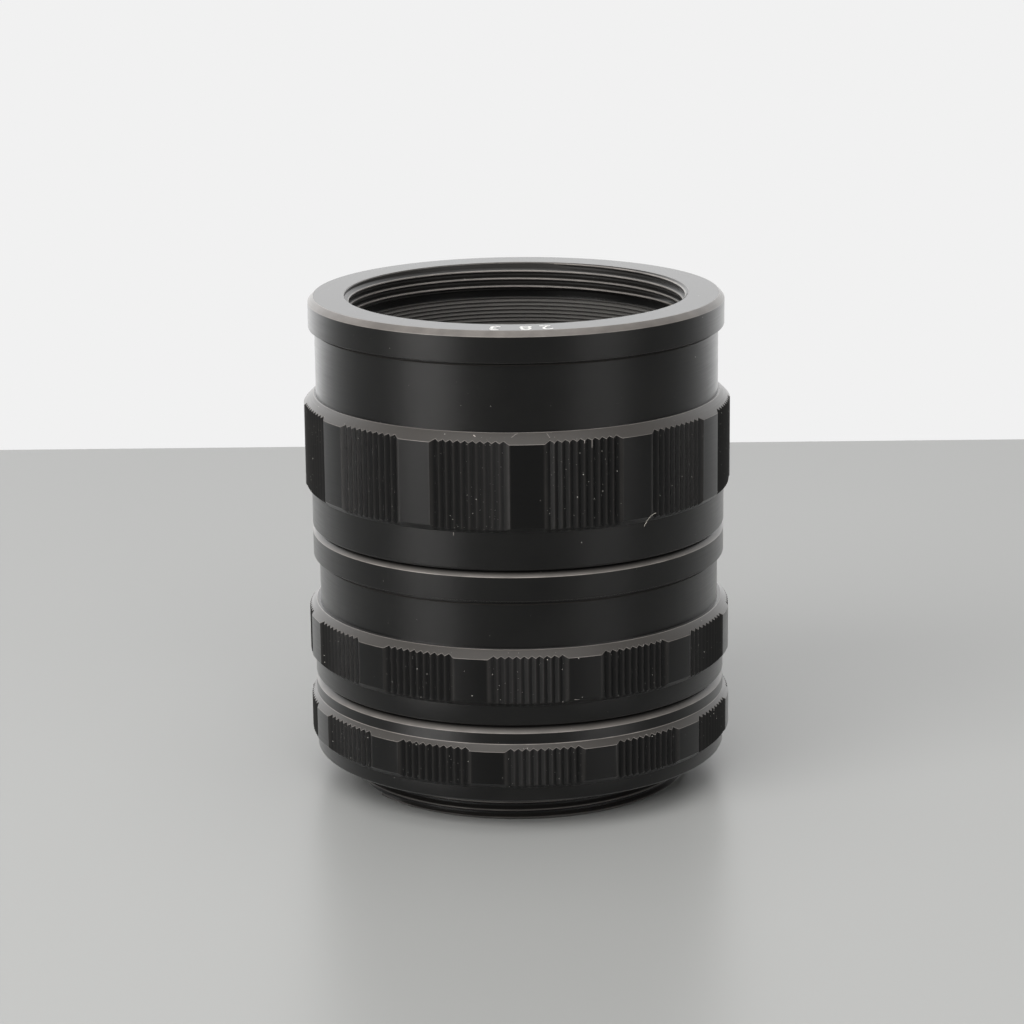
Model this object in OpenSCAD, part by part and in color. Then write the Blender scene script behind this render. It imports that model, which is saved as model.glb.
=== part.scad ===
// Three screw-mount macro extension tubes, screwed together into one stack.
// The stack stands on the male thread of its shortest tube, and its mouth points up.
// Threads are plain cylinders at their major diameter, with a running clearance.

/* [Tubes] */
// Length that the short tube adds between camera and lens
short_len = 9.5; // [9:0.5:14]
// Length that the middle tube adds
middle_len = 19; // [17:0.5:26]
// Length that the long tube adds
long_len = 28.5; // [24:0.5:40]

/* [Outside of the tubes] */
// Wall of the flange round each mouth, outward from the thread's major diameter
flange_wall = 4.5; // [4:0.05:5]
// Step in from the flange to the neck below it
neck_step = 0.75; // [0.4:0.05:1]
// Step out from the tail to the knurled grip: the grip's lower chamfer, and both on the short tube
grip_step = 0.75; // [0.6:0.05:1.2]
// Wall of the tail round the mount ring
tail_wall = 2.5; // [2:0.05:3]

/* [Flanges] */
// Height of the flange on the long and the middle tube
flange_h = 3.75; // [3:0.05:5]
// Chamfer at the outer edge of the long tube's mouth
long_rim = 0.65; // [0.3:0.05:0.8]
// Chamfer at the outer edge of the middle tube's mouth
middle_rim = 0.8; // [0.3:0.05:1]
// Chamfer at the outer edge of the short tube's mouth
short_rim = 0.95; // [0.3:0.05:1.1]
// Chamfer at the foot of each tail
tail_rim = 0.2; // [0.1:0.05:0.4]

/* [Grips] */
// Height of the long tube's grip
long_grip_h = 10; // [7:0.1:11]
// Height of the middle tube's grip
middle_grip_h = 5.2; // [4:0.1:5.8]
// Height of the short tube's grip
short_grip_h = 4; // [3:0.1:4.4]
// Height of the plain tail under the long tube's grip
long_tail_h = 4.55; // [3.5:0.05:5]
// Height of the plain tail under the middle tube's grip
middle_tail_h = 2.4; // [1.5:0.05:2.8]
// Height of the plain tail under the short tube's grip
short_tail_h = 1.7; // [1:0.05:2]
// Chamfer above the long tube's grip
long_crown = 1.2; // [0.8:0.05:1.3]
// Chamfer above the middle tube's grip
middle_crown = 1; // [0.6:0.05:1.2]

/* [Knurling] */
// Number of knurled zones round a grip, with a plain land between each two
zones = 12; // [8:1:12]
// Number of grooves in one zone
grooves = 10; // [4:1:10]
// Angle from one groove to the next, in degrees
groove_pitch = 2; // [1.6:0.1:2]
// Depth of a groove's root below the land
groove_depth = 0.38; // [0.2:0.01:0.45]
// Angle between a groove's two flanks
groove_angle = 122; // [100:1:126]
// Turn of the long tube's grip, in degrees
long_turn = 2.4; // [0:0.1:30]
// Turn of the middle tube's grip, in degrees
middle_turn = 17.2; // [0:0.1:30]
// Turn of the short tube's grip, in degrees
short_turn = 21.4; // [0:0.1:30]

/* [Mouth and light trap] */
// Major diameter of the screw mount
thread_d = 42; // [41:0.1:42.4]
// Depth of the female thread in each mouth
thread_depth = 3.5; // [2.5:0.1:3.8]
// Edge break at the mouth
mouth_break = 0.1; // [0.05:0.05:0.3]
// Depth of the run-out groove beyond the thread's wall
runout_depth = 0.2; // [0.1:0.05:0.5]
// Free length between the end of a male thread and the light trap below it
end_gap = 0.5; // [0.3:0.05:0.7]
// Pitch of the light trap's ribs
rib_pitch = 0.5; // [0.4:0.05:0.8]
// Height of the light trap's ribs
rib_h = 0.3; // [0.15:0.05:0.4]
// Step in from the thread's major radius to the crests of the light trap's ribs
rib_step = 0.6; // [0.4:0.05:1]

/* [Mount rings] */
// Length of the male thread below the shoulder
male_len = 4; // [3:0.1:4.2]
// Radial clearance of a male thread in its mouth, and of a ring in its tail
fit_gap = 0.05; // [0.02:0.01:0.09]
// Height of the run-out groove between shoulder and male thread
undercut_h = 0.75; // [0.4:0.05:1]
// Depth of that groove
undercut_depth = 0.65; // [0.3:0.05:0.8]
// Chamfer at the lead of the male thread
lead_rim = 0.5; // [0.3:0.05:0.7]
// Height of the part of the ring that sits in the tail
stem_h = 3; // [2.4:0.1:3.2]
// Wall of the ring, from its clear bore to the male thread's major diameter
ring_wall = 1.75; // [1.5:0.05:2.5]
// Chamfer at both ends of the ring's bore
ring_bore_rim = 0.4; // [0.2:0.05:0.6]

/* [Hidden] */
$fn = 144;
black = [0.12, 0.12, 0.12];

// heights of the three seats, where each tail rests on the mouth below it
short_seat = male_len;
middle_seat = short_seat + short_len;
long_seat = middle_seat + middle_len;

// radii, each from the thread's major diameter outward or inward
mouth_r = thread_d / 2;
flange_r = mouth_r + flange_wall;
neck_r = flange_r - neck_step;
tail_r = flange_r;
grip_r = tail_r + grip_step;
socket_r = tail_r - tail_wall;
stem_r = socket_r - fit_gap;
rib_r = mouth_r - rib_step;
male_r = mouth_r - fit_gap;
bore_r = male_r - ring_wall;

// the knurl's groove: root radius, slope of a flank, and how far past the land it is cut
root_r = grip_r - groove_depth;
flank = tan(groove_angle / 2);
overcut = groove_depth + 0.4;

// a point given in the groove's own frame, turned to the groove's place in its zone
function turned(p, a) = [p[0] * cos(a) - p[1] * sin(a), p[0] * sin(a) + p[1] * cos(a)];
function groove_at(i) = (i - (grooves - 1) / 2) * groove_pitch;

// rise from a root to the crest that two neighbouring flanks form
crest_rise = root_r * tan(groove_pitch / 2) / (flank - tan(groove_pitch / 2));

// everything that the cutter takes away in one zone, from the saw-tooth line outward
module zone_cutter(h) {
    teeth = [
        for (i = [0 : grooves - 1]) each concat(
            [turned([root_r, 0], groove_at(i))],
            i < grooves - 1
                ? [turned([root_r + crest_rise, crest_rise * flank], groove_at(i))]
                : []
        )
    ];
    first = turned([root_r + overcut, -overcut * flank], groove_at(0));
    last = turned([root_r + overcut, overcut * flank], groove_at(grooves - 1));
    beyond = [grip_r + 2, 0];
    linear_extrude(height = h)
        polygon(concat([first], teeth, [last], [beyond]));
}

// ribs of the light trap as [radius, height] points, from the top one down
function ribs(top, bottom) =
    let (n = floor((top - bottom) / rib_pitch + 0.01))
    [for (i = [0 : n - 1]) each [
        [rib_r, top - i * rib_pitch],
        [rib_r + rib_h, top - (i + 0.5) * rib_pitch]
    ]];

// half section of a barrel, its seat at height 0
module barrel_section(len, tail_h, grip_h, crown, mouth_flange_h, rim) {
    grip_z = tail_h + grip_step;
    crown_z = grip_z + grip_h;
    neck_z = crown_z + crown;
    flange_z = len - mouth_flange_h;
    trap_top = len - male_len - end_gap;
    trap_end = stem_h + rib_pitch;
    outside = [
        [tail_r - tail_rim, 0],
        [tail_r, tail_rim],
        [tail_r, tail_h],
        [grip_r, grip_z],
        [grip_r, crown_z],
        [grip_r - crown, neck_z],
    ];
    neck = flange_z > neck_z ? [[neck_r, neck_z], [neck_r, flange_z], [flange_r, flange_z]] : [];
    flange = [
        [flange_r, len - rim],
        [flange_r - rim, len],
    ];
    mouth = [
        [mouth_r + mouth_break, len],
        [mouth_r, len - mouth_break],
        [mouth_r, len - thread_depth],
        [mouth_r + runout_depth, len - thread_depth - runout_depth],
        [mouth_r + runout_depth, trap_top],
    ];
    socket = [
        [rib_r, trap_end],
        [rib_r, stem_h],
        [socket_r, stem_h],
        [socket_r, 0],
    ];
    polygon(concat(outside, neck, flange, mouth, ribs(trap_top, trap_end), socket));
}

// one turned barrel: the section revolved, then the knurl cut through the grip and its chamfers
module barrel(len, tail_h, grip_h, crown, mouth_flange_h, rim, turn) {
    cut_h = grip_h + crown + grip_step;
    difference() {
        rotate_extrude() barrel_section(len, tail_h, grip_h, crown, mouth_flange_h, rim);
        for (i = [0 : zones - 1])
            rotate(turn + (i + 0.5) * 360 / zones)
                translate([0, 0, tail_h])
                    zone_cutter(cut_h);
    }
}

// the ring with the male thread, its shoulder at height 0
module mount_ring() {
    rotate_extrude() polygon([
        [bore_r, ring_bore_rim - male_len],
        [bore_r + ring_bore_rim, -male_len],
        [male_r - lead_rim, -male_len],
        [male_r, lead_rim - male_len],
        [male_r, -undercut_h],
        [male_r - undercut_depth, -undercut_h],
        [male_r - undercut_depth, 0],
        [stem_r, 0],
        [stem_r, stem_h],
        [bore_r + ring_bore_rim, stem_h],
        [bore_r, stem_h - ring_bore_rim],
    ]);
}

module long_barrel() {
    color(black) translate([0, 0, long_seat])
        barrel(long_len, long_tail_h, long_grip_h, long_crown, flange_h, long_rim, long_turn);
}

module middle_barrel() {
    color(black) translate([0, 0, middle_seat])
        barrel(middle_len, middle_tail_h, middle_grip_h, middle_crown, flange_h, middle_rim, middle_turn);
}

// the short barrel has no neck: the chamfer above its grip runs straight into the flange
module short_barrel() {
    color(black) translate([0, 0, short_seat])
        barrel(short_len, short_tail_h, short_grip_h, grip_step, short_len, short_rim, short_turn);
}

module long_mount_ring() {
    color(black) translate([0, 0, long_seat]) mount_ring();
}

module middle_mount_ring() {
    color(black) translate([0, 0, middle_seat]) mount_ring();
}

module short_mount_ring() {
    color(black) translate([0, 0, short_seat]) mount_ring();
}

long_barrel();
long_mount_ring();
middle_barrel();
middle_mount_ring();
short_barrel();
short_mount_ring();
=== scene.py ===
import math

import bmesh
import bpy
from mathutils import Matrix, Vector


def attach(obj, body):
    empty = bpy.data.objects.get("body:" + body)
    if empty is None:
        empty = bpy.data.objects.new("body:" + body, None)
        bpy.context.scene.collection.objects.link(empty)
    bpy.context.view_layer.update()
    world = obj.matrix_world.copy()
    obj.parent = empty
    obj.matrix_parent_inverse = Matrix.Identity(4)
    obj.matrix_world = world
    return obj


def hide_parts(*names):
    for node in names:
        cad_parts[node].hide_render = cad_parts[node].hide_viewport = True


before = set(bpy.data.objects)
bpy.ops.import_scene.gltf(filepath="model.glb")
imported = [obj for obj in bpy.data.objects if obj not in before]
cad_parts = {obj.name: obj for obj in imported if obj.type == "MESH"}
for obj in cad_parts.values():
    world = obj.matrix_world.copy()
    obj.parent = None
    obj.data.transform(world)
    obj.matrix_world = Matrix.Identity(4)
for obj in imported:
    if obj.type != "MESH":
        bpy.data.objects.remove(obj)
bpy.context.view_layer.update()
print("frame loaded:", ", ".join(sorted(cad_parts)))

mm = 0.001
columns = 720  # round a barrel: two to a degree, so that every edge of the knurl falls on one
threadSteps = 180  # in one turn of a thread
mergeDistance = 0.000002  # for the seams of a turned piece
mergeCurve = 0.0000005  # for the finer mesh of a curve or a digit
sharpEdge = math.radians(40)  # from this angle on, a turned piece's edge isn't smoothed
sharpRidge = 0.5  # the same for a thread, in radians

# what the three tubes share, in mm; heights count from a tube's own seat
tube = {
    "mouthR": 21.0,
    "flangeR": 25.5,
    "neckR": 24.75,
    "gripR": 26.25,
    "tailR": 25.5,
    "socketR": 23.0,
    "socketH": 3.0,
    "ribR": 20.4,
    "ribH": 0.3,
    "ribPitch": 0.5,
    "mouthBreak": 0.1,
    "threadDepth": 3.5,
    "runOut": 0.2,
    "maleLength": 4.0,
    "endGap": 0.5,
    "tailRim": 0.2,
    "reliefH": 0.13,
    "reliefDepth": 0.12,
}
noiseSpan = (0.3, 0.7)  # a noise texture mostly stays within this


def newMaterial(name):
    material = bpy.data.materials.new(name)
    material.use_nodes = True
    return material, material.node_tree, material.node_tree.nodes["Principled BSDF"]


# a node with its inputs, each a value or the socket that feeds it
def put(tree, kind, inputs=None, **settings):
    made = tree.nodes.new("ShaderNode" + kind)
    for key, value in settings.items():
        setattr(made, key, value)
    for key, value in (inputs or {}).items():
        if isinstance(value, bpy.types.NodeSocket):
            tree.links.new(value, made.inputs[key])
        else:
            made.inputs[key].default_value = value
    return made


def calc(tree, operation, *values, clamp=False):
    inputs = {i: v for i, v in enumerate(values)}
    return put(tree, "Math", inputs, operation=operation, use_clamp=clamp).outputs[0]


def ramp(tree, value, low, high, toLow=0.0, toHigh=1.0):
    made = put(tree, "MapRange", {0: value, 1: low, 2: high, 3: toLow, 4: toHigh})
    made.clamp = True
    return made.outputs[0]


def mixColor(tree, share, a, b):
    made = put(tree, "Mix", {0: share}, data_type="RGBA")
    for socket, value in ((made.inputs[6], a), (made.inputs[7], b)):  # its colour inputs
        if isinstance(value, bpy.types.NodeSocket):
            tree.links.new(value, socket)
        else:
            socket.default_value = (*value, 1.0)
    return made.outputs[2]


def mixValue(tree, share, a, b):
    return put(tree, "Mix", {0: share, 2: a, 3: b}).outputs[0]


# degrees and mm to a point in metres
def atPlace(azimuth, radius, height):
    a = math.radians(azimuth)
    return Vector((radius * math.cos(a), radius * math.sin(a), height)) * mm


# a mask that is 1 within half a width of a straight line from start to end
def scratchMark(tree, place, start, end, width):
    along = end - start
    off = put(tree, "VectorMath", {0: place, 1: start}, operation="SUBTRACT").outputs[0]
    share = put(tree, "VectorMath", {0: off, 1: along / along.length_squared},
                operation="DOT_PRODUCT").outputs["Value"]
    share = calc(tree, "MULTIPLY", share, 1.0, clamp=True)
    nearest = put(tree, "VectorMath", {0: along, "Scale": share}, operation="SCALE").outputs[0]
    away = put(tree, "VectorMath", {0: off, 1: nearest}, operation="DISTANCE").outputs["Value"]
    return calc(tree, "LESS_THAN", away, width * mm / 2)


# reads two attributes: edge is wear, on the crests of threads and of the light trap partly a
# painted highlight, or below zero painted shade, which takes off the painted highlight of
# up-facing faces and darkens a bore's thread flanks; groove is the depth in the knurl
def anodised(name, look):
    material, tree, shader = newMaterial(name)
    place = put(tree, "TexCoord").outputs["Object"]
    split = put(tree, "SeparateXYZ", {0: place}).outputs
    flat = put(tree, "CombineXYZ", {0: split[0], 1: split[1]}).outputs[0]
    radius = put(tree, "VectorMath", {0: flat}, operation="LENGTH").outputs["Value"]
    angle = calc(tree, "ARCTAN2", split[1], split[0])

    # tool marks run round the axis, so their noise hardly changes with the angle
    slowAngle = calc(tree, "MULTIPLY", angle, look["turnedStretch"])
    aroundAxis = put(tree, "CombineXYZ", {0: radius, 1: slowAngle, 2: split[2]}).outputs[0]
    turned = put(tree, "TexNoise", {"Vector": aroundAxis, "Scale": look["turnedScale"],
                                    "Detail": 3.0, "Roughness": 0.6}).outputs[0]
    grain = put(tree, "TexNoise", {"Vector": place, "Scale": look["grainScale"],
                                   "Detail": 2.0}).outputs[0]
    cloud = put(tree, "TexNoise", {"Vector": place, "Scale": look["cloudScale"],
                                   "Detail": 3.0}).outputs[0]

    # painted highlight: what faces up on the outside is painted lighter, as lit from above, and
    # the grooves of the knurl aren't
    facing = put(tree, "SeparateXYZ", {0: put(tree, "TexCoord").outputs["Normal"]}).outputs[2]
    outside = calc(tree, "GREATER_THAN", radius, look["outsideFrom"])
    edge = put(tree, "Attribute", attribute_name="edge").outputs["Fac"]
    paintedUpLight = calc(tree, "MULTIPLY", ramp(tree, facing, *look["paintedUpLightFacing"]), outside)
    paintedUpLight = calc(tree, "MULTIPLY", paintedUpLight, ramp(tree, edge, look["fullShadeEdge"], 0.0))
    groove = put(tree, "Attribute", attribute_name="groove").outputs["Fac"]
    notUpLit = calc(tree, "SUBTRACT", 1.0, paintedUpLight)
    inGroove = calc(tree, "MULTIPLY", ramp(tree, groove, 0.0, look["grooveFull"]), notUpLit)

    # worn edges, and the painted highlights on the crests of threads and the light trap: patchy
    # along their length
    patch = put(tree, "TexNoise", {"Vector": place, "Scale": look["patchScale"],
                                   "Detail": 4.0}).outputs[0]
    wearAndGlint = calc(tree, "MULTIPLY", edge, ramp(tree, patch, *look["patchWear"]))
    wearAndGlint = calc(tree, "MULTIPLY", wearAndGlint, look["wear"], clamp=True)

    # the few scratches and chips that the photograph shows
    for first, last, width, depth in look["scratches"]:
        scratch = scratchMark(tree, place, atPlace(*first), atPlace(*last), width)
        wearAndGlint = calc(tree, "MAXIMUM", wearAndGlint, calc(tree, "MULTIPLY", scratch, depth))

    # dust: a few bright specks, most of them in the grooves
    specks = put(tree, "TexVoronoi", {"Vector": place, "Scale": look["dustScale"]})
    pick = put(tree, "SeparateColor", {0: specks.outputs["Color"]}).outputs
    size = ramp(tree, pick[1], 0.0, 1.0, *look["dustSize"])
    speck = calc(tree, "LESS_THAN", specks.outputs["Distance"], size)
    limit = ramp(tree, groove, 0.0, look["dustDeep"], look["dustOpen"], look["dustGroove"])
    speck = calc(tree, "MULTIPLY", speck, calc(tree, "GREATER_THAN", pick[0], limit))
    dust = calc(tree, "MULTIPLY", speck, ramp(tree, pick[2], 0.6, 1.0, *look["dustShare"]))

    # colours, each laid over the one before
    deep = mixColor(tree, ramp(tree, cloud, *noiseSpan), look["dark"], look["light"])
    # painted light: the bore's colour is partly its own lighter tone and partly painted light
    # reaching into it, and the light trap's ribs are painted lighter still, as lit from the front
    # above
    ribbed = calc(tree, "LESS_THAN", radius, look["ribbedTo"])
    bore = mixColor(tree, ribbed, look["boreColor"], look["paintedRibLightColor"])
    # painted shade: in the bore, the flanks of a thread are painted darker
    flank = calc(tree, "LESS_THAN", edge, -0.001)  # of a thread: below zero in the bore
    bore = mixColor(tree, flank, bore, look["paintedFlankShadeColor"])
    deep = mixColor(tree, outside, bore, deep)
    # painted shade: the knurled grip is painted darker, standing in for the shade between its
    # grooves
    grip = calc(tree, "GREATER_THAN", radius, look["gripFrom"])
    deep = mixColor(tree, grip, deep, look["paintedGripShadeColor"])
    # painted highlight: up-facing outer faces take a lighter colour, standing in for light from
    # above
    deep = mixColor(tree, paintedUpLight, deep, look["paintedUpLightColor"])
    # painted sheen: the top face, which faces straight up, takes a colour that stands in for its
    # grey sheen
    mouth = calc(tree, "MULTIPLY", ramp(tree, facing, *look["mouthFacing"]), outside)
    deep = mixColor(tree, mouth, deep, look["paintedTopSheenColor"])
    bare = mixColor(tree, wearAndGlint, deep, look["edgeColor"])
    tree.links.new(mixColor(tree, dust, bare, look["dustColor"]), shader.inputs["Base Color"])

    rough = ramp(tree, turned, *noiseSpan, look["roughLow"], look["roughHigh"])
    rough = mixValue(tree, inGroove, rough, look["roughGroove"])
    rough = mixValue(tree, mouth, rough, look["roughMouth"])
    rough = mixValue(tree, wearAndGlint, rough, look["roughWorn"])
    rough = mixValue(tree, dust, rough, look["roughDust"])
    tree.links.new(rough, shader.inputs["Roughness"])
    bump = put(tree, "Bump", {"Strength": look["turnedBump"], "Distance": look["turnedDepth"],
                              "Height": turned})
    fine = put(tree, "Bump", {"Strength": look["grainBump"], "Distance": look["grainDepth"],
                              "Height": grain, "Normal": bump.outputs[0]})
    tree.links.new(fine.outputs[0], shader.inputs["Normal"])
    shader.inputs["IOR"].default_value = look["ior"]
    shader.inputs["Coat Weight"].default_value = look["coat"]
    shader.inputs["Coat Roughness"].default_value = look["coatRough"]
    shader.inputs["Coat IOR"].default_value = look["coatIor"]
    shader.inputs["Specular Tint"].default_value = (*(3 * [look["specularTint"]]), 1.0)
    return material


# black anodising: lengths in metres, apart from the scratches; a pair or a row of four is the
# range of a ramp
barrelLook = {
    "turnedScale": 7000.0, "turnedStretch": 0.0006, "turnedBump": 0.25, "turnedDepth": 0.00002,
    "grainScale": 16000.0, "grainBump": 0.15, "grainDepth": 0.00001,
    "cloudScale": 130.0, "dark": (0.003, 0.003, 0.003), "light": (0.005, 0.005, 0.0048),
    # painted highlight: next, the lighter colour of up-facing outer faces, as lit from above
    "paintedUpLightColor": (0.048, 0.045, 0.042), "outsideFrom": 0.0211, "paintedUpLightFacing": (0.45, 0.65),
    "fullShadeEdge": -0.35, "grooveFull": 0.3,
    # in the bore: a lighter tone, partly painted light; thread flanks painted in shade; the light
    # trap painted as lit
    "boreColor": (0.03, 0.029, 0.028), "paintedFlankShadeColor": (0.01, 0.0095, 0.009),
    "paintedRibLightColor": (0.08, 0.078, 0.075), "ribbedTo": 0.02075,
    # painted sheen on the top face
    "paintedTopSheenColor": (0.03, 0.03, 0.0295), "mouthFacing": (0.85, 0.95),
    "edgeColor": (0.34, 0.315, 0.295), "wear": 0.8,
    "patchScale": 420.0, "patchWear": (0.38, 0.68, 0.65, 1.0),
    # painted shade over the knurled grip
    "paintedGripShadeColor": (0.001, 0.001, 0.001), "gripFrom": 0.02575,
    # each scratch: azimuth in degrees, radius and height in mm, twice; width in mm; depth 0 to 1
    "scratches": (
        ((-91.5, 25.5, 48.55), (-90.0, 25.1, 48.94), 0.05, 0.6),
        ((-82.2, 25.2, 48.87), (-81.6, 25.6, 48.46), 0.05, 0.6),
        ((-101.5, 25.35, 48.7), (-101.1, 25.45, 48.6), 0.13, 1.0),
        ((-75.7, 26.25, 16.68), (-73.4, 26.25, 16.55), 0.06, 0.9),
        ((-107.3, 25.5, 36.97), (-107.3, 25.5, 36.63), 0.07, 0.5),
        ((-5.3, 24.92, 60.93), (-6.0, 25.07, 60.78), 0.12, 0.9),
        ((-70.6, 26.12, 47.96), (-70.6, 26.13, 47.05), 0.07, 0.7),
        ((-72.6, 26.12, 47.96), (-72.6, 26.13, 47.66), 0.08, 0.8),
        ((-76.6, 26.12, 47.96), (-76.6, 26.13, 47.8), 0.06, 0.6),
        ((-80.6, 26.12, 47.96), (-80.6, 26.13, 47.8), 0.06, 0.6),
    ),
    "dustScale": 2300.0, "dustSize": (0.05, 0.15), "dustShare": (0.12, 0.9),
    "dustOpen": 0.975, "dustGroove": 0.36, "dustDeep": 0.6, "dustColor": (0.5, 0.49, 0.46),
    "roughLow": 0.3, "roughHigh": 0.4, "roughGroove": 0.75, "roughMouth": 0.24,
    "roughWorn": 0.3, "roughDust": 0.9,
    "ior": 1.5, "specularTint": 0.15,
    "coat": 1.0, "coatRough": 0.3, "coatIor": 1.22,
}
# no radius of a ring counts as outside, so nothing on it gets the painted highlight of up-facing
# faces
ringLook = dict(barrelLook, wear=0.5, roughLow=0.3, roughHigh=0.42, outsideFrom=0.05,
                boreColor=barrelLook["dark"], paintedRibLightColor=barrelLook["dark"], scratches=())
blackBarrel = anodised("blackAnodisedBarrel", barrelLook)
blackRing = anodised("blackAnodisedThread", ringLook)


# a plain colour, a little uneven in shade and gloss
def plainPaint(name, color, rough, spotScale):
    darkest, spread = 0.8, 0.08
    material, tree, shader = newMaterial(name)
    place = put(tree, "TexCoord").outputs["Object"]
    spots = put(tree, "TexNoise", {"Vector": place, "Scale": spotScale, "Detail": 3.0}).outputs[0]
    darker = tuple(darkest * c for c in color)
    tree.links.new(mixColor(tree, ramp(tree, spots, 0.4, 0.6), darker, color),
                   shader.inputs["Base Color"])
    tree.links.new(ramp(tree, spots, *noiseSpan, rough - spread, rough + spread),
                   shader.inputs["Roughness"])
    return material


whitePaint = plainPaint("whiteFill", (0.9, 0.9, 0.88), 0.5, 3000.0)
paleFibre = plainPaint("paleFibre", (0.45, 0.43, 0.38), 0.7, 2000.0)
print("materials made")


# a piece's mesh and object, with the body that it moves with
def finishPiece(bm, name, body, material, node=None):
    mesh = bpy.data.meshes.new(name)
    bm.to_mesh(mesh)
    bm.free()
    mesh.materials.append(material)
    piece = bpy.data.objects.new(name, mesh)
    bpy.context.scene.collection.objects.link(piece)
    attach(piece, body)
    if node:
        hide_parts(node)
    triangles = sum(len(p.vertices) - 2 for p in mesh.polygons)
    print("made", name, triangles, "triangles")
    return piece


def evenNormals(piece):
    flatten = piece.modifiers.new("evenNormals", "WEIGHTED_NORMAL")
    flatten.keep_sharp = True


# a turned piece: half a section, its corners rounded off, spun through one sector, which is
# shaped if need be and then repeated round the axis; section holds radius, height and rounding
def spunPiece(section, steps, sectors, shapeSector=None):
    bm = bmesh.new()
    edgeMark = bm.verts.layers.float.new("edge")
    bm.verts.layers.float.new("groove")
    corners = [bm.verts.new((r * mm, 0, z * mm)) for r, z, _ in section]
    bm.faces.new(corners)
    for size in sorted({cut for _, _, cut in section if cut}):
        chosen = [v for v, (_, _, cut) in zip(corners, section) if cut == size]
        places = [v.co.copy() for v in chosen]
        made = bmesh.ops.bevel(bm, geom=chosen, offset=size * mm, offset_type="OFFSET",
                               segments=2, profile=0.5, affect="VERTICES", material=-1)
        for place in places:  # the middle vertex of each rounded corner is its worn edge
            middle = min(made["verts"], key=lambda v: (v.co - place).length)
            middle[edgeMark] = 1.0
    bmesh.ops.delete(bm, geom=bm.faces[:], context="FACES_ONLY")
    sector = 2 * math.pi / sectors
    bmesh.ops.rotate(bm, verts=bm.verts[:], cent=(0, 0, 0),
                     matrix=Matrix.Rotation(-sector / 2, 3, "Z"))
    bmesh.ops.spin(bm, geom=bm.verts[:] + bm.edges[:], axis=(0, 0, 1), cent=(0, 0, 0),
                   steps=steps // sectors, angle=sector)
    if shapeSector:
        shapeSector(bm)
    bmesh.ops.spin(bm, geom=bm.verts[:] + bm.edges[:] + bm.faces[:], axis=(0, 0, 1),
                   cent=(0, 0, 0), steps=sectors - 1, angle=sector * (sectors - 1),
                   use_duplicate=True)
    bmesh.ops.remove_doubles(bm, verts=bm.verts[:], dist=mergeDistance)
    bmesh.ops.recalc_face_normals(bm, faces=bm.faces[:])
    for face in bm.faces:
        face.smooth = True
    for edge in bm.edges:
        if edge.calc_face_angle(0.0) > sharpEdge:
            edge.smooth = False
    return bm


# one ridge of a screw thread: a section spun round the axis while it climbs
def addThread(bm, thread):
    steps = round(thread["turns"] * threadSteps)
    start = math.radians(360 * ((thread["startZ"] - thread["phase"]) % 1.0))
    section = [
        (thread["baseR"], -thread["baseHalf"]), (thread["crestR"], -thread["crestHalf"]),
        (thread["crestR"], thread["crestHalf"]), (thread["baseR"], thread["baseHalf"]),
    ]
    ridge = bmesh.new()
    first = [ridge.verts.new((r * mm, 0, (thread["startZ"] + z) * mm)) for r, z in section]
    ridge.faces.new(first)
    made = bmesh.ops.spin(ridge, geom=ridge.verts[:] + ridge.edges[:], axis=(0, 0, 1),
                          cent=(0, 0, 0), dvec=(0, 0, thread["pitch"] * mm / threadSteps),
                          steps=steps, angle=steps / threadSteps * 2 * math.pi)
    last = [g for g in made["geom_last"] if isinstance(g, bmesh.types.BMEdge)]
    bmesh.ops.edgeloop_fill(ridge, edges=last)
    ridge.verts.ensure_lookup_table()
    edgeMark = ridge.verts.layers.float.new("edge")
    ridge.verts.layers.float.new("groove")
    base = thread["baseR"] * mm
    for i, v in enumerate(ridge.verts):
        step, corner = divmod(i, len(section))
        fromEnd = min(step, steps - step) / threadSteps
        rise = min(1.0, fromEnd / thread["fade"])
        r = math.hypot(v.co.x, v.co.y)
        wanted = base + (r - base) * rise
        if "leadR" in thread:  # a male thread, cut off by its lead chamfer
            wanted = min(wanted, thread["leadR"] * mm + max(0.0, v.co.z))
            v.co.z = max(v.co.z, thread["floorZ"] * mm)
        if "mouthZ" in thread:  # a female thread, cut off by a chamfer at the mouth
            v.co.z = min(v.co.z, (thread["mouthZ"] - thread["keepOff"]) * mm)
            wanted = max(wanted, base + v.co.z - thread["mouthZ"] * mm)
        v.co.x *= wanted / r
        v.co.y *= wanted / r
        # the crest carries wear, partly a painted highlight; below zero at the base, so that the
        # wear ends just below the crest and a bore's thread flanks are painted in shade
        v[edgeMark] = thread["wear"] * (1 if corner in (1, 2) else -3)
    bmesh.ops.rotate(ridge, verts=ridge.verts[:], cent=(0, 0, 0),
                     matrix=Matrix.Rotation(start, 3, "Z"))
    bmesh.ops.recalc_face_normals(ridge, faces=ridge.faces[:])
    for face in ridge.faces:
        face.smooth = True
    for edge in ridge.edges:
        if len(edge.link_faces) == 2 and edge.calc_face_angle(0.0) > sharpRidge:
            edge.smooth = False
    joined = bpy.data.meshes.new("ridge")
    ridge.to_mesh(joined)
    ridge.free()
    bm.from_mesh(joined)
    bpy.data.meshes.remove(joined)


# the knurl of the barrels: angles in degrees; beyond halfZone from the middle of a zone the
# land is plain
knurl = {"zones": 12, "grooves": 10, "pitch": 2.0, "depth": 0.38, "flank": 61.0,
         "halfZone": 10.5, "crestWear": 0.04}
# how far each corner is rounded off, in mm
rounding = {"foot": 0.05, "grip": 0.04, "crown": 0.045, "neck": 0.07, "flange": 0.08,
            "rimFoot": 0.06, "rimTop": 0.05, "mouth": 0.03}
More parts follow.
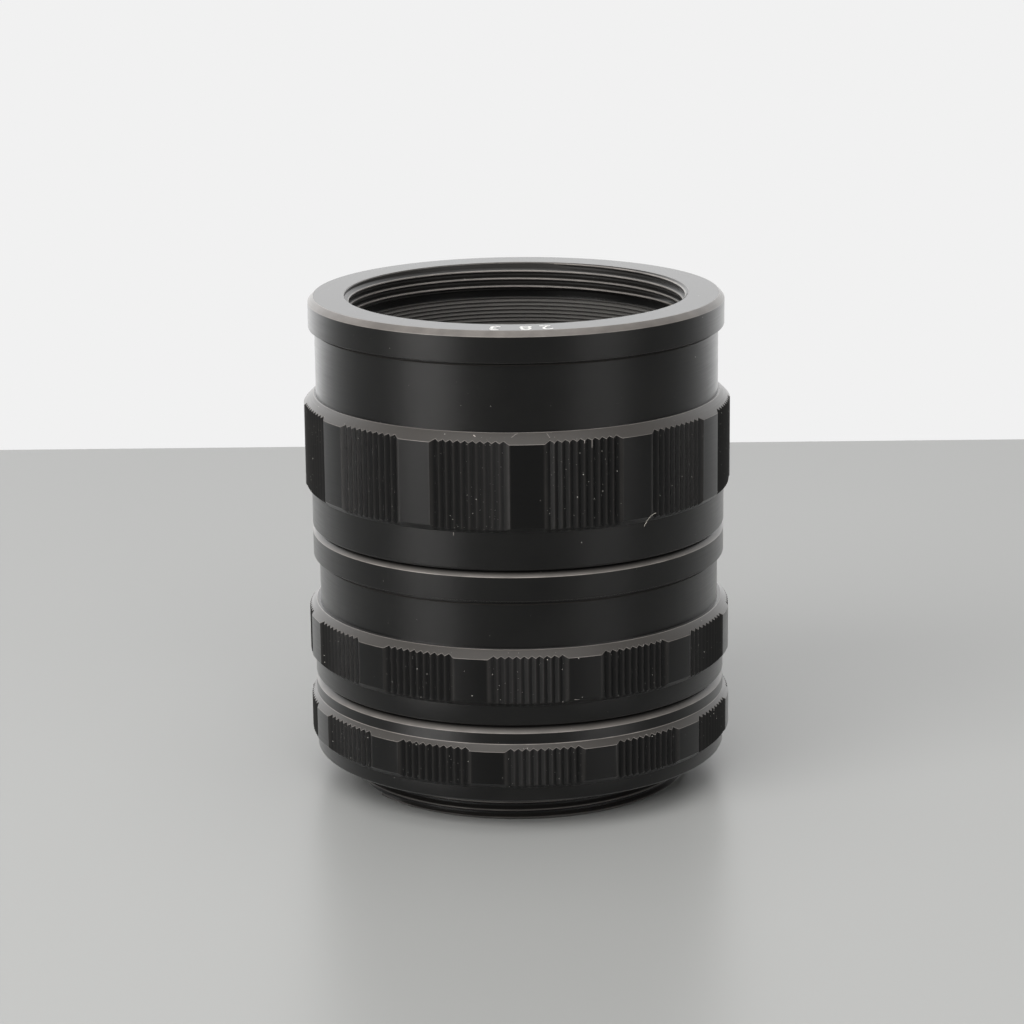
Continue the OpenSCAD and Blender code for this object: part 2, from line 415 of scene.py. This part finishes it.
# marks for the edge attribute, where an edge isn't just worn: below zero is painted shade, and the
# mark on the crests of the light trap is a painted highlight
wear = {"contactShade": -0.7, "dentShade": -0.2, "flangeFoot": 0.1, "ribHighlight": 0.1}


# depth of the knurl below the land, at an angle from the middle of a zone
def landDrop(angle):
    lastRoot = knurl["pitch"] * (knurl["grooves"] - 1) / 2
    off = abs(angle)
    if off > lastRoot:
        near = off - lastRoot
    else:
        near = abs((off - knurl["pitch"] / 2) % knurl["pitch"])
        near = min(near, knurl["pitch"] - near)
    slope = math.tan(math.radians(knurl["flank"]))
    rootR = tube["gripR"] - knurl["depth"]
    rise = rootR * math.tan(math.radians(near)) / (slope - math.tan(math.radians(near)))
    return max(0.0, tube["gripR"] - math.hypot(rootR + rise, rise * slope))


# radius, height and rounding of each corner, from the foot up the outside and down the bore
def barrelSection(s):
    gripZ = s["tailH"] + tube["gripR"] - tube["tailR"]
    crownZ = gripZ + s["gripH"]
    neckZ = crownZ + s["crown"]
    top = s["length"]
    flangeZ = max(top - s["flangeH"], neckZ)
    trapTop = top - tube["maleLength"] - tube["endGap"]
    trapEnd = tube["socketH"] + tube["ribPitch"]
    section = [
        (tube["tailR"] - tube["tailRim"], 0, 0),
        (tube["tailR"], tube["tailRim"], rounding["foot"]),
        (tube["tailR"], s["tailH"], 0),
        (tube["gripR"], gripZ, rounding["grip"]),
        (tube["gripR"], crownZ, rounding["crown"]),
        (tube["gripR"] - s["crown"], neckZ, rounding["neck"]),
    ]
    if flangeZ > neckZ:
        reliefZ = flangeZ - s["reliefDrop"]  # a fine dent that the turning tool left
        section += [(tube["neckR"], neckZ, 0),
                    (tube["neckR"], reliefZ - tube["reliefH"], 0),
                    (tube["neckR"] - tube["reliefDepth"], reliefZ, 0),
                    (tube["neckR"], reliefZ + tube["reliefH"], 0),
                    (tube["neckR"], flangeZ, 0),
                    (tube["flangeR"], flangeZ, rounding["flange"])]
    section += [
        (tube["flangeR"], top - s["rim"], rounding["rimFoot"]),
        (tube["flangeR"] - s["rim"], top, rounding["rimTop"]),
        (tube["mouthR"] + tube["mouthBreak"], top, rounding["mouth"]),
        (tube["mouthR"], top - tube["mouthBreak"], rounding["mouth"]),
        (tube["mouthR"], top - tube["threadDepth"], 0),
        (tube["mouthR"] + tube["runOut"], top - tube["threadDepth"] - tube["runOut"], 0),
        (tube["mouthR"] + tube["runOut"], trapTop, 0),
    ]
    ribs = math.floor((trapTop - trapEnd) / tube["ribPitch"] + 0.01)
    for i in range(ribs):
        z = trapTop - i * tube["ribPitch"]
        section += [(tube["ribR"], z, 0),
                    (tube["ribR"] + tube["ribH"], z - tube["ribPitch"] / 2, 0)]
    return section + [
        (tube["ribR"], trapEnd, 0), (tube["ribR"], tube["socketH"], 0),
        (tube["socketR"], tube["socketH"], 0), (tube["socketR"], 0, 0),
    ]


# the knurl moves each column of the grip down along both chamfers, so they stay true cones
def cutKnurl(bm, s):
    edgeMark = bm.verts.layers.float["edge"]
    grooveMark = bm.verts.layers.float["groove"]
    gripZ = s["tailH"] + tube["gripR"] - tube["tailR"]
    crownZ = gripZ + s["gripH"]
    reach = 0.15 * mm  # more than the rounding of the grip's corners takes
    creases = {}
    crownRing = set()
    for v in bm.verts:
        r = math.hypot(v.co.x, v.co.y)
        low = abs(v.co.z - gripZ * mm) < reach
        high = abs(v.co.z - crownZ * mm) < reach
        if r < tube["gripR"] * mm - reach or not (low or high):
            continue
        if v.co.z > (crownZ + 0.02) * mm:  # the rounding's upper end
            crownRing.add(v)
        angle = round(math.degrees(math.atan2(v.co.y, v.co.x)) * 2) / 2
        drop = landDrop(angle) * mm
        if low:
            v[edgeMark] = 0.0
        if abs(angle) <= knurl["halfZone"]:
            v[grooveMark] = drop / (knurl["depth"] * mm)
            runsOut = abs(angle) == knurl["halfZone"]
            onCrest = angle % knurl["pitch"] == 0 or runsOut
            onRoot = (angle + knurl["pitch"] / 2) % knurl["pitch"] == 0
            if onCrest and v.co.z < crownZ * mm:
                v[edgeMark] = max(v[edgeMark], knurl["crestWear"])
            if onCrest or onRoot:
                creases[v] = angle
        v.co.x *= (r - drop) / r
        v.co.y *= (r - drop) / r
        v.co.z += drop if high else -drop
    for edge in bm.edges:
        a, b = edge.verts
        alongCrease = a in creases and b in creases and creases[a] == creases[b]
        if alongCrease or (a in crownRing and b in crownRing):
            edge.smooth = False


# the chamfer round a mouth is burnished, and where the tail above covers it its upper half is
# painted dark as that tail's shadow; handling spares the lower edge of a flange and the foot of a
# tail, the dent below a flange is painted in shade, and the crests of the light trap get a painted
# highlight
def markWearAndShade(bm, s):
    edgeMark = bm.verts.layers.float["edge"]
    flangeR, top = tube["flangeR"], s["length"]
    rimFoot, flangeFoot = top - s["rim"], top - s["flangeH"]
    gap, margin = 0.002, 0.1  # to tell a corner from its neighbours, without and with rounding
    for v in bm.verts:
        r, z = math.hypot(v.co.x, v.co.y) / mm, v.co.z / mm
        if rimFoot - gap < z < top - gap and flangeR - s["rim"] - gap < r < flangeR - gap:
            v[edgeMark] = max(v[edgeMark], s["rimWear"])
        # painted shadow: under the tail above, the upper half of the rim is marked as shade and
        # stays dark
        if s["rimCovered"] and z > top - s["rim"] / 2 and r > tube["mouthR"] + 1:
            v[edgeMark] = wear["contactShade"]
        if z < tube["tailRim"] + margin and r > tube["socketR"] + 1:
            v[edgeMark] = 0.0
        if abs(z - flangeFoot) < margin and r > tube["neckR"]:
            v[edgeMark] *= wear["flangeFoot"]
        # painted shade: the dent below the flange is marked as shade
        if "reliefDrop" in s and tube["neckR"] - 2 * margin < r < tube["neckR"] + gap:
            if abs(z - flangeFoot + s["reliefDrop"]) < tube["reliefH"] + gap:
                v[edgeMark] = wear["dentShade"]
        # painted highlight on the crests of the light trap
        if r < tube["ribR"] + gap and z > tube["socketH"] + gap:
            v[edgeMark] = wear["ribHighlight"]


def shapeBarrel(bm, s):
    cutKnurl(bm, s)
    markWearAndShade(bm, s)


def makeBarrel(name, s, thread, node, body):
    bm = spunPiece(barrelSection(s), columns, knurl["zones"], lambda part: shapeBarrel(part, s))
    zoneTurn = math.radians(s["turn"] + 180 / knurl["zones"])
    bmesh.ops.rotate(bm, verts=bm.verts[:], cent=(0, 0, 0),
                     matrix=Matrix.Rotation(zoneTurn, 3, "Z"))
    bmesh.ops.translate(bm, verts=bm.verts[:], vec=(0, 0, s["seat"] * mm))
    top = s["seat"] + s["length"]
    addThread(bm, dict(thread, startZ=top - thread["firstDepth"], mouthZ=top))
    evenNormals(finishPiece(bm, name, body, blackBarrel, node))


longBarrel = {"seat": 32.5, "length": 28.5, "tailH": 4.55, "gripH": 10.0, "crown": 1.2,
              "flangeH": 3.75, "rim": 0.65, "rimWear": 0.42, "rimCovered": False,
              "reliefDrop": 0.33, "turn": 2.4}
middleBarrel = {"seat": 13.5, "length": 19.0, "tailH": 2.4, "gripH": 5.2, "crown": 1.0,
                "flangeH": 3.75, "rim": 0.8, "rimWear": 0.34, "rimCovered": True,
                "reliefDrop": 0.48, "turn": 17.2}
shortBarrel = {"seat": 4.0, "length": 9.5, "tailH": 1.7, "gripH": 4.0, "crown": 0.75,
               "flangeH": 9.5, "rim": 0.95, "rimWear": 0.4, "rimCovered": True,
               "turn": 21.4}
# phase is the height at which the ridge crosses azimuth 0, less whole turns; fade is the part
# of a turn in which it rises at each end; keepOff is its distance from the end face
mouthThread = {"pitch": 1.0, "phase": 0.68, "firstDepth": 3.3, "turns": 3.2, "fade": 0.12,
               "baseR": 21.04, "crestR": 20.46, "baseHalf": 0.42, "crestHalf": 0.05,
               "keepOff": 0.02, "wear": 0.8}

makeBarrel("longBarrel", longBarrel, mouthThread, "long_barrel", "long_tube")
makeBarrel("middleBarrel", middleBarrel, mouthThread, "middle_barrel", "middle_tube")
makeBarrel("shortBarrel", shortBarrel, mouthThread, "short_barrel", "short_tube")


# mount rings, each with its male thread; a ring turns with its barrel
mountRing = {"boreR": 19.2, "boreRim": 0.4, "coreR": 20.4, "reliefR": 20.3, "reliefH": 0.75,
             "leadRim": 0.4, "stemR": 22.95, "stemH": 3.0, "length": 4.0,
             "rounding": 0.05, "sectors": 12}
maleThread = {"pitch": 1.0, "firstDepth": 3.8, "turns": 2.75, "fade": 0.08,
              "baseR": 20.36, "crestR": 20.95, "baseHalf": 0.42, "crestHalf": 0.06,
              "leadDepth": 0.5, "keepOff": 0.02, "wear": 0.4}


def makeRing(name, seat, phase, node, body):
    s = mountRing
    section = [
        (s["boreR"], s["boreRim"] - s["length"], 0),
        (s["boreR"] + s["boreRim"], -s["length"], s["rounding"]),
        (s["coreR"] - s["leadRim"], -s["length"], s["rounding"]),
        (s["coreR"], s["leadRim"] - s["length"], 0),
        (s["coreR"], -s["reliefH"], 0), (s["reliefR"], -s["reliefH"], 0),
        (s["reliefR"], 0, 0), (s["stemR"], 0, 0), (s["stemR"], s["stemH"], 0),
        (s["boreR"] + s["boreRim"], s["stemH"], s["rounding"]),
        (s["boreR"], s["stemH"] - s["boreRim"], 0),
    ]
    bm = spunPiece(section, columns // 2, s["sectors"])
    bmesh.ops.translate(bm, verts=bm.verts[:], vec=(0, 0, seat * mm))
    end = seat - s["length"]
    thread = dict(maleThread, phase=phase, startZ=seat - maleThread["firstDepth"],
                  leadR=maleThread["crestR"] - maleThread["leadDepth"] - end,
                  floorZ=end + maleThread["keepOff"])
    addThread(bm, thread)
    evenNormals(finishPiece(bm, name, body, blackRing, node))


# a hidden thread sits half a pitch from the ridge of the mouth that holds it
hiddenPhase, seenPhase = mouthThread["phase"] + 0.5, 0.61
makeRing("longRing", longBarrel["seat"], hiddenPhase, "long_mount_ring", "long_tube")
makeRing("middleRing", middleBarrel["seat"], hiddenPhase, "middle_mount_ring", "middle_tube")
makeRing("shortRing", shortBarrel["seat"], seenPhase, "short_mount_ring", "short_tube")


# numbers on the top face: each glyph with its place along the arc
numbers = {"glyphs": (("3", -2.5), ("8", 1.1), ("2", 3.5)), "height": 3.2, "radius": 22.3,
           "arcRadius": 23.3, "front": -90, "top": 61.0, "thick": 0.012}


# a curve or a text made a mesh, with its place in the mesh
def bakeCurve(curve, name, body, material, place):
    holder = bpy.data.objects.new(name + "Source", curve)
    bpy.context.scene.collection.objects.link(holder)
    shape = holder.evaluated_get(bpy.context.evaluated_depsgraph_get())
    mesh = bpy.data.meshes.new_from_object(shape)
    bpy.data.objects.remove(holder)
    bm = bmesh.new()
    bm.from_mesh(mesh)
    bpy.data.meshes.remove(mesh)
    bmesh.ops.remove_doubles(bm, verts=bm.verts[:], dist=mergeCurve)
    bmesh.ops.transform(bm, verts=bm.verts[:], matrix=place)
    bmesh.ops.recalc_face_normals(bm, faces=bm.faces[:])
    finishPiece(bm, name, body, material)


for count, (glyph, across) in enumerate(numbers["glyphs"], 1):
    text = bpy.data.curves.new("glyph" + glyph, "FONT")
    text.body = glyph
    text.size = numbers["height"] * mm
    text.extrude = numbers["thick"] * mm / 2
    text.align_x = "CENTER"
    azimuth = numbers["front"] + math.degrees(across / numbers["arcRadius"])
    where = atPlace(azimuth, numbers["radius"], numbers["top"] + numbers["thick"] / 2)
    turn = Matrix.Translation(where) @ Matrix.Rotation(math.radians(azimuth - 90), 4, "Z")
    bakeCurve(text, "topNumber" + str(count), "long_tube", whitePaint, turn)


# one hair of lint, caught on the lower edge of the long grip: points as azimuth, radius and
# height
lint = {"radius": 0.022, "points": ((-55.5, 26.2, 36.75), (-54.9, 26.28, 37.4),
                                    (-53.7, 26.28, 38.0), (-51.7, 26.28, 38.12))}
hair = bpy.data.curves.new("lint", "CURVE")
hair.dimensions = "3D"
hair.bevel_depth = lint["radius"] * mm
hair.bevel_resolution = 2
strand = hair.splines.new("NURBS")
strand.points.add(len(lint["points"]) - 1)
for point, at in zip(strand.points, lint["points"]):
    point.co = (*atPlace(*at), 1.0)
strand.use_endpoint_u = True
strand.order_u = 4
hair.use_fill_caps = True
bakeCurve(hair, "lint", "long_tube", paleFibre, Matrix.Identity(4))


# the floor: size is half its width, behind is how far it reaches past the object, in metres
floorLook = {"color": (0.38, 0.388, 0.384), "rough": 0.32, "size": 1.5, "behind": 0.18}
floorMaterial, _, floorShader = newMaterial("paleFloor")
floorShader.inputs["Base Color"].default_value = (*floorLook["color"], 1.0)
floorShader.inputs["Roughness"].default_value = floorLook["rough"]
bm = bmesh.new()
bmesh.ops.create_grid(bm, x_segments=1, y_segments=1, size=floorLook["size"],
                      matrix=Matrix.Translation((0, floorLook["behind"] - floorLook["size"], 0)))
floorMesh = bpy.data.meshes.new("floor")
bm.to_mesh(floorMesh)
bm.free()
floorMesh.materials.append(floorMaterial)
floor = bpy.data.objects.new("floor", floorMesh)
bpy.context.scene.collection.objects.link(floor)

# the world as a mirror sees it is bright behind the object and most of all to its left, and
# dimmer on the camera's side: ranges of two ramps over the direction
studio = {"behind": (0.2, 0.6, 0.36, 1.1), "across": (-0.4, -0.1, 1.3, 1.0),
          "diffuse": 0.2, "seen": 0.88}
world = bpy.data.worlds.new("studio")
bpy.context.scene.world = world
world.use_nodes = True
sky = world.node_tree
sky.nodes.clear()
sees = put(sky, "LightPath").outputs
across, behind, _ = put(sky, "SeparateXYZ", {0: put(sky, "TexCoord").outputs["Generated"]}).outputs
mirrored = calc(sky, "MULTIPLY", ramp(sky, behind, *studio["behind"]),
                ramp(sky, across, *studio["across"]))
strength = mixValue(sky, sees["Is Glossy Ray"], studio["diffuse"], mirrored)
strength = mixValue(sky, sees["Is Camera Ray"], strength, studio["seen"])
background = put(sky, "Background", {"Color": (1.0, 1.0, 1.0, 1.0), "Strength": strength})
out = put(sky, "OutputWorld")
sky.links.new(background.outputs[0], out.inputs[0])

lampColor, lampAim = (1.0, 0.98, 0.96), Vector((0, 0, 0.04))
lamps = {
    "softboxLeft": {"wide": 0.8, "high": 0.4, "watts": 14.5, "at": (-1.149, -0.966, 0.21)},
    "softboxRight": {"wide": 0.8, "high": 0.4, "watts": 6.3, "at": (1.098, -1.023, 0.21)},
    "softboxTop": {"wide": 0.5, "high": 0.5, "watts": 1.4, "at": (0.0, 0.0, 0.6)},
    "softboxFront": {"wide": 0.9, "high": 0.3, "watts": 3.8, "at": (-0.15, -0.42, 0.46)},
}
for name, s in lamps.items():
    light = bpy.data.lights.new(name, "AREA")
    light.shape = "RECTANGLE"
    light.size = s["wide"]
    light.size_y = s["high"]
    light.energy = s["watts"]
    light.color = lampColor
    lamp = bpy.data.objects.new(name, light)
    lamp.location = s["at"]
    toward = lampAim - Vector(s["at"])
    lamp.rotation_euler = toward.to_track_quat("-Z", "Y").to_euler()
    lamp.visible_camera = False
    bpy.context.scene.collection.objects.link(lamp)

# the camera fitted to the photograph: place in metres, turns in degrees, lens in mm
view = {"at": (0.0, -0.3909, 0.1325), "down": 14.258, "roll": -0.624, "yaw": -0.111,
        "lens": 113.9, "sensor": 36.0, "near": 0.01}
down, roll, yaw = (math.radians(view[k]) for k in ("down", "roll", "yaw"))
ahead = Vector((math.sin(yaw) * math.cos(down), math.cos(yaw) * math.cos(down), -math.sin(down)))
right = Vector((math.cos(yaw), -math.sin(yaw), 0))
up = right.cross(ahead)
right, up = (math.cos(roll) * right + math.sin(roll) * up,
             math.cos(roll) * up - math.sin(roll) * right)
camera = bpy.data.cameras.new("camera")
camera.lens = view["lens"]
camera.sensor_width = view["sensor"]
camera.sensor_fit = "HORIZONTAL"
camera.clip_start = view["near"]
eye = bpy.data.objects.new("camera", camera)
turned = Matrix((right, up, -ahead)).transposed().to_4x4()
eye.matrix_world = Matrix.Translation(view["at"]) @ turned
bpy.context.scene.collection.objects.link(eye)
bpy.context.scene.camera = eye
bpy.context.scene.view_settings.view_transform = "Standard"
print("stage, lights and camera placed")

bpy.context.view_layer.update()
